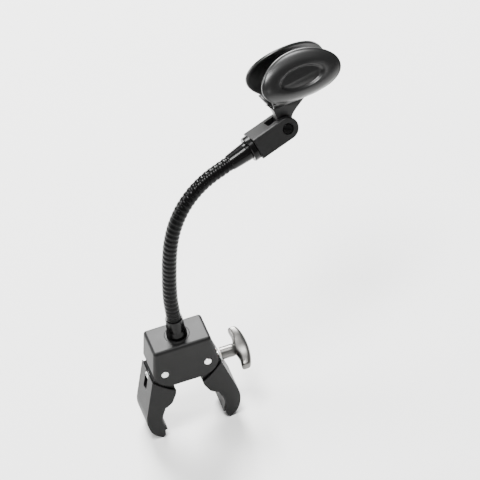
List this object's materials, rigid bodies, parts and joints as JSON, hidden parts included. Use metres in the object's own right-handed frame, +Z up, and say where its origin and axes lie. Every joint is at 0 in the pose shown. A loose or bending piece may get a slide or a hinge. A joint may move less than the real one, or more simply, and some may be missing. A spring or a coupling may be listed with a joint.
{
  "type": "airbrush holder stand",
  "caption": "Clamp-on holder: a two-jaw screw clamp with a winged knob, a bendable gooseneck and a tilting C-shaped clip that holds an airbrush.",
  "frame": {"origin": "centre of the bar that the jaws grip, on the clamp's mid-plane, 45 mm below the jaw pins", "axes": "+Z up through the clamp and the foot of the neck, +X towards the knob, +Y to the back along the gripped bar"},
  "size_m": [0.2248, 0.0971, 0.3183],
  "materials": {
    "black_powder_coat": "fine-grained satin powder coat on die-cast aluminium",
    "grip_rubber": "matt rubber",
    "bright_rivet": "bright",
    "black_chrome": "gloss black plate",
    "zinc_steel": "bright zinc plate",
    "bright_washer": "smooth nylon",
    "satin_zinc": "satin die-cast",
    "black_wire": "black-plated spring wire",
    "brass": "turned",
    "black_plastic": "moulded satin",
    "nylon": "moulded"
  },
  "bodies": {
    "root": {"clamp_housing": "black_powder_coat", "pivot_pins": "bright_rivet", "neck_bush": "black_powder_coat", "base_ferrule": "black_chrome", "neck_stud": "zinc_steel", "stud_washer": "zinc_steel", "stud_nut": "zinc_steel", "neck_link_01": "black_wire"},
    "right_jaw": {"right_jaw": "black_powder_coat", "right_pad": "grip_rubber"},
    "left_jaw": {"left_jaw": "black_powder_coat", "left_pad": "grip_rubber"},
    "right_swivel": {"swivel_barrel": "zinc_steel", "thrust_washer": "bright_washer"},
    "knob": {"wing_knob": "satin_zinc", "clamp_screw": "zinc_steel", "retaining_ring": "zinc_steel"},
    "left_swivel": {"barrel_nut": "zinc_steel"},
    "neck_02": {"neck_link_02": "black_wire"},
    "neck_03": {"neck_link_03": "black_wire"},
    "neck_04": {"neck_link_04": "black_wire"},
    "neck_05": {"neck_link_05": "black_wire"},
    "neck_06": {"neck_link_06": "black_wire"},
    "neck_07": {"neck_link_07": "black_wire"},
    "neck_08": {"neck_link_08": "black_wire"},
    "neck_09": {"neck_link_09": "black_wire"},
    "neck_10": {"neck_link_10": "black_wire"},
    "neck_11": {"neck_link_11": "black_wire"},
    "head": {"neck_link_12": "black_wire", "top_ferrule": "black_chrome", "lock_ring": "black_chrome", "head_stud": "zinc_steel", "thread_insert": "brass", "yoke": "black_plastic", "pivot_screw": "zinc_steel", "pivot_nut": "zinc_steel", "tilt_washers": "nylon"},
    "clip": {"clip": "black_plastic"}
  },
  "joints": [
    {"name": "right_jaw_close", "type": "hinge", "parent": "root", "child": "right_jaw", "pos_m": [0.01885, 0, 0.045], "axis": [0, 1, 0], "range_deg": [0, 20]},
    {"name": "left_jaw_close", "type": "hinge", "parent": "root", "child": "left_jaw", "pos_m": [-0.01885, 0, 0.045], "axis": [0, -1, 0], "range_deg": [0, 20]},
    {"name": "right_swivel_turn", "type": "hinge", "parent": "right_jaw", "child": "right_swivel", "pos_m": [0.02685, 0, 0.033], "axis": [0, -1, 0], "range_deg": [0, 20]},
    {"name": "left_swivel_turn", "type": "hinge", "parent": "left_jaw", "child": "left_swivel", "pos_m": [-0.02685, 0, 0.033], "axis": [0, 1, 0], "range_deg": [0, 20]},
    {"name": "knob_turn", "type": "hinge", "parent": "right_swivel", "child": "knob", "pos_m": [0.02685, 0, 0.033], "axis": [-1, 0, 0], "range_deg": [0, 3302]},
    {"name": "lower_bend_1", "type": "hinge", "parent": "root", "child": "neck_02", "pos_m": [0, 0, 0.1044], "axis": [-0.2521, 0.9677, 0], "range_deg": [-10.5, 10.5]},
    {"name": "sway_1", "type": "hinge", "parent": "neck_02", "child": "neck_03", "pos_m": [0.0007, 0.00018, 0.11868], "axis": [0.9628, 0.2508, -0.1011], "range_deg": [-10.5, 10.5]},
    {"name": "lower_bend_2", "type": "hinge", "parent": "neck_03", "child": "neck_04", "pos_m": [0.00236, 0.00061, 0.13287], "axis": [-0.2521, 0.9677, 0], "range_deg": [-10.5, 10.5]},
    {"name": "sway_2", "type": "hinge", "parent": "neck_04", "child": "neck_05", "pos_m": [0.00445, 0.00116, 0.14701], "axis": [0.9547, 0.2487, -0.1633], "range_deg": [-10.5, 10.5]},
    {"name": "lower_bend_3", "type": "hinge", "parent": "neck_05", "child": "neck_06", "pos_m": [0.00709, 0.00185, 0.16104], "axis": [-0.2521, 0.9677, 0], "range_deg": [-10.5, 10.5]},
    {"name": "sway_3", "type": "hinge", "parent": "neck_06", "child": "neck_07", "pos_m": [0.01085, 0.00283, 0.1748], "axis": [0.9155, 0.2385, -0.3239], "range_deg": [-10.5, 10.5]},
    {"name": "upper_bend_4", "type": "hinge", "parent": "neck_07", "child": "neck_08", "pos_m": [0.01638, 0.00427, 0.18789], "axis": [-0.2521, 0.9677, 0], "range_deg": [-10.5, 9.5]},
    {"name": "sway_4", "type": "hinge", "parent": "neck_08", "child": "neck_09", "pos_m": [0.02416, 0.00629, 0.19969], "axis": [0.7391, 0.1925, -0.6455], "range_deg": [-10.5, 10.5]},
    {"name": "upper_bend_5", "type": "hinge", "parent": "neck_09", "child": "neck_10", "pos_m": [0.03423, 0.00892, 0.20944], "axis": [-0.2521, 0.9677, 0], "range_deg": [-10.5, 9.5]},
    {"name": "sway_5", "type": "hinge", "parent": "neck_10", "child": "neck_11", "pos_m": [0.04622, 0.01204, 0.21652], "axis": [0.3781, 0.0985, -0.9205], "range_deg": [-10.5, 10.5]},
    {"name": "upper_bend_6", "type": "hinge", "parent": "neck_11", "child": "head", "pos_m": [0.05946, 0.01549, 0.22055], "axis": [-0.2521, 0.9677, 0], "range_deg": [-10.5, 9.5]},
    {"name": "clip_tilt", "type": "hinge", "parent": "head", "child": "clip", "pos_m": [0.12545, 0.03268, 0.23233], "axis": [-0.1659, 0.9052, -0.3914], "range_deg": [-35, 85]}
  ],
  "couplings": [
    {"joint": "right_jaw_close", "follows": "knob_turn", "ratio": 0.0060569},
    {"joint": "left_jaw_close", "follows": "knob_turn", "ratio": 0.0060569},
    {"joint": "right_swivel_turn", "follows": "knob_turn", "ratio": 0.0060569},
    {"joint": "left_swivel_turn", "follows": "knob_turn", "ratio": 0.0060569},
    {"joint": "lower_bend_2", "follows": "lower_bend_1", "ratio": 1},
    {"joint": "sway_2", "follows": "sway_1", "ratio": 1},
    {"joint": "lower_bend_3", "follows": "lower_bend_1", "ratio": 1},
    {"joint": "sway_3", "follows": "sway_1", "ratio": 1},
    {"joint": "sway_4", "follows": "sway_1", "ratio": 1},
    {"joint": "upper_bend_5", "follows": "upper_bend_4", "ratio": 1},
    {"joint": "sway_5", "follows": "sway_1", "ratio": 1},
    {"joint": "upper_bend_6", "follows": "upper_bend_4", "ratio": 1}
  ]
}
